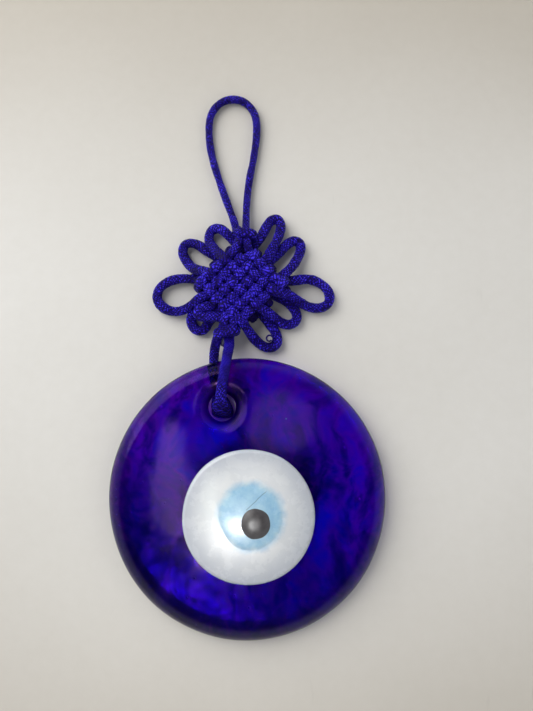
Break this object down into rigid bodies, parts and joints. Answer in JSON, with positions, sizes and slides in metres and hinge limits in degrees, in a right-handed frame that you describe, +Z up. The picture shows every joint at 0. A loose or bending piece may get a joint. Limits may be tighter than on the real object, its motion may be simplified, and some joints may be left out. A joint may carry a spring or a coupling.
{
  "type": "evil eye ornament",
  "caption": "Hanging evil eye: a flat round cobalt glass disc with white, pale blue and dark eye rings, tied through its hole to a mystic knot of satin cord with a hanging loop.",
  "frame": {"origin": "on the surface that the ornament lies on, under the middle of the box round the glass and the knot without the free cord loops", "axes": "+Y from the glass towards the hanging loop, +Z up out of the eye's face, +X to the right"},
  "size_m": [0.0888, 0.1853, 0.014],
  "materials": {
    "cobalt_glass": "gloss, mottled deep cobalt to violet",
    "white_glass": "gloss opaque milk white",
    "pale_blue_glass": "gloss opaque pale blue",
    "dark_glass": "gloss near black",
    "satin_cord": "braided satin sheen",
    "melted_cord": "cut and melted cord end"
  },
  "bodies": {
    "glass_eye": {"blue_glass_disc": "cobalt_glass", "white_glass_eye": "white_glass", "pale_blue_iris": "pale_blue_glass", "dark_pupil": "dark_glass"},
    "tether": {"tether_loop": "satin_cord"},
    "knot": {"knot_body": "satin_cord", "top_wrap_knot": "satin_cord", "bottom_wrap_knot": "satin_cord", "ear_upper_left_inner": "satin_cord", "ear_upper_left_outer": "satin_cord", "ear_left": "satin_cord", "ear_lower_left_outer": "satin_cord", "ear_lower_left_inner": "satin_cord", "ear_upper_right_inner": "satin_cord", "ear_upper_right_outer": "satin_cord", "ear_right": "satin_cord", "ear_lower_right_outer": "satin_cord", "ear_lower_right_inner": "satin_cord", "cord_end": "melted_cord"},
    "hanging_loop": {"hanging_loop": "satin_cord"}
  },
  "joints": [
    {"name": "glass_turn", "type": "hinge", "parent": "glass_eye", "child": "tether", "pos_m": [-0.0083, 0.00358, 0.00254], "axis": [0, -0.0366, 0.9993], "range_deg": [-6, 40]},
    {"name": "tether_fold", "type": "hinge", "parent": "tether", "child": "knot", "pos_m": [-0.0083, 0.0248, 0.005], "axis": [1, 0, 0], "range_deg": [-50, 50]},
    {"name": "loop_fold", "type": "hinge", "parent": "knot", "child": "hanging_loop", "pos_m": [-0.0026, 0.0658, 0.0034], "axis": [1, 0, 0], "range_deg": [-90, 90]}
  ]
}
